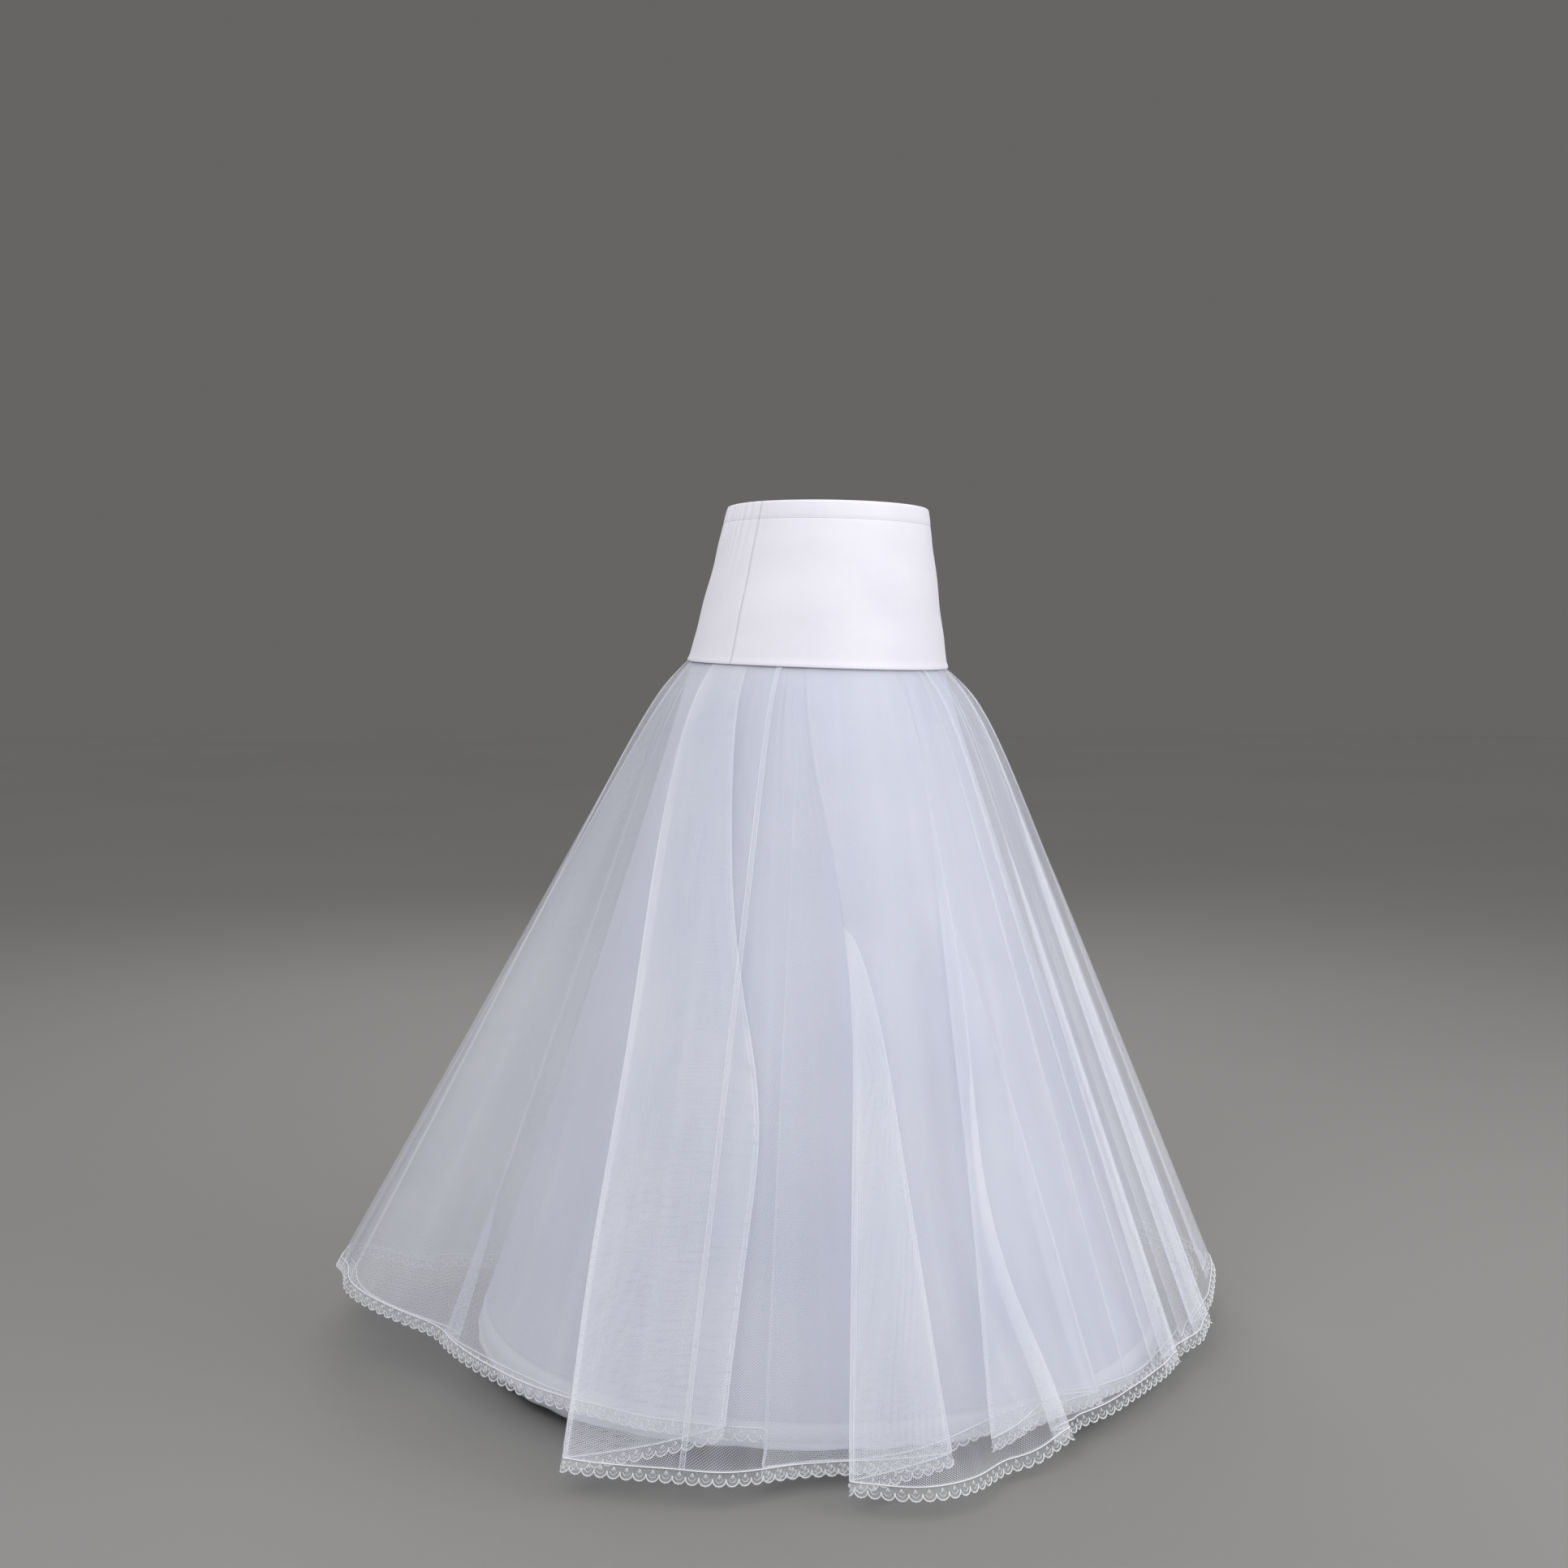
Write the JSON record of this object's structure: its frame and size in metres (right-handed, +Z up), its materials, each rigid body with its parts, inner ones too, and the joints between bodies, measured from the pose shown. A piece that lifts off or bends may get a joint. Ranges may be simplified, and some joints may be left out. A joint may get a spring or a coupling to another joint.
{
  "type": "crinoline petticoat",
  "caption": "Bridal crinoline petticoat: a smooth stretch yoke over an A-line lining that ends in a hoop, under flared folded net skirts with scalloped lace hems.",
  "frame": {"origin": "centre of the waist opening, in the plane of its top edge", "axes": "+Z up along the wearer's body, the wearer's front faces -Y and the wearer's right side is towards -X"},
  "size_m": [0.8829, 0.8234, 0.8475],
  "materials": {
    "stretch_knit": "smooth matt stretch knit, faintly lavender white",
    "elastic": "woven white elastic",
    "lining_cloth": "plain soft white lining cloth",
    "channel_tape": "plain woven white tape",
    "net": "fine six-sided white net, see-through",
    "lace": "narrow scalloped white lace edging",
    "spring_steel": "flat spring strip with a white coat",
    "sleeve_steel": "plain flat metal sleeve"
  },
  "bodies": {
    "root": {"yoke_front": "stretch_knit", "yoke_back": "stretch_knit", "waist_elastic": "elastic", "hoop_channel": "channel_tape", "hoop_bone": "spring_steel", "hoop_sleeve": "sleeve_steel", "inner_lace": "lace", "outer_lace": "lace", "lining_left_back": "lining_cloth", "inner_net_left_back": "net", "outer_net_left_back": "net", "lining_back": "lining_cloth", "inner_net_back": "net", "outer_net_back": "net", "lining_right_back": "lining_cloth", "inner_net_right_back": "net", "outer_net_right_back": "net", "lining_right_front": "lining_cloth", "inner_net_right_front": "net", "outer_net_right_front": "net", "lining_front": "lining_cloth", "inner_net_front": "net", "outer_net_front": "net", "lining_left_front": "lining_cloth", "inner_net_left_front": "net", "outer_net_left_front": "net"}
  },
  "joints": []
}
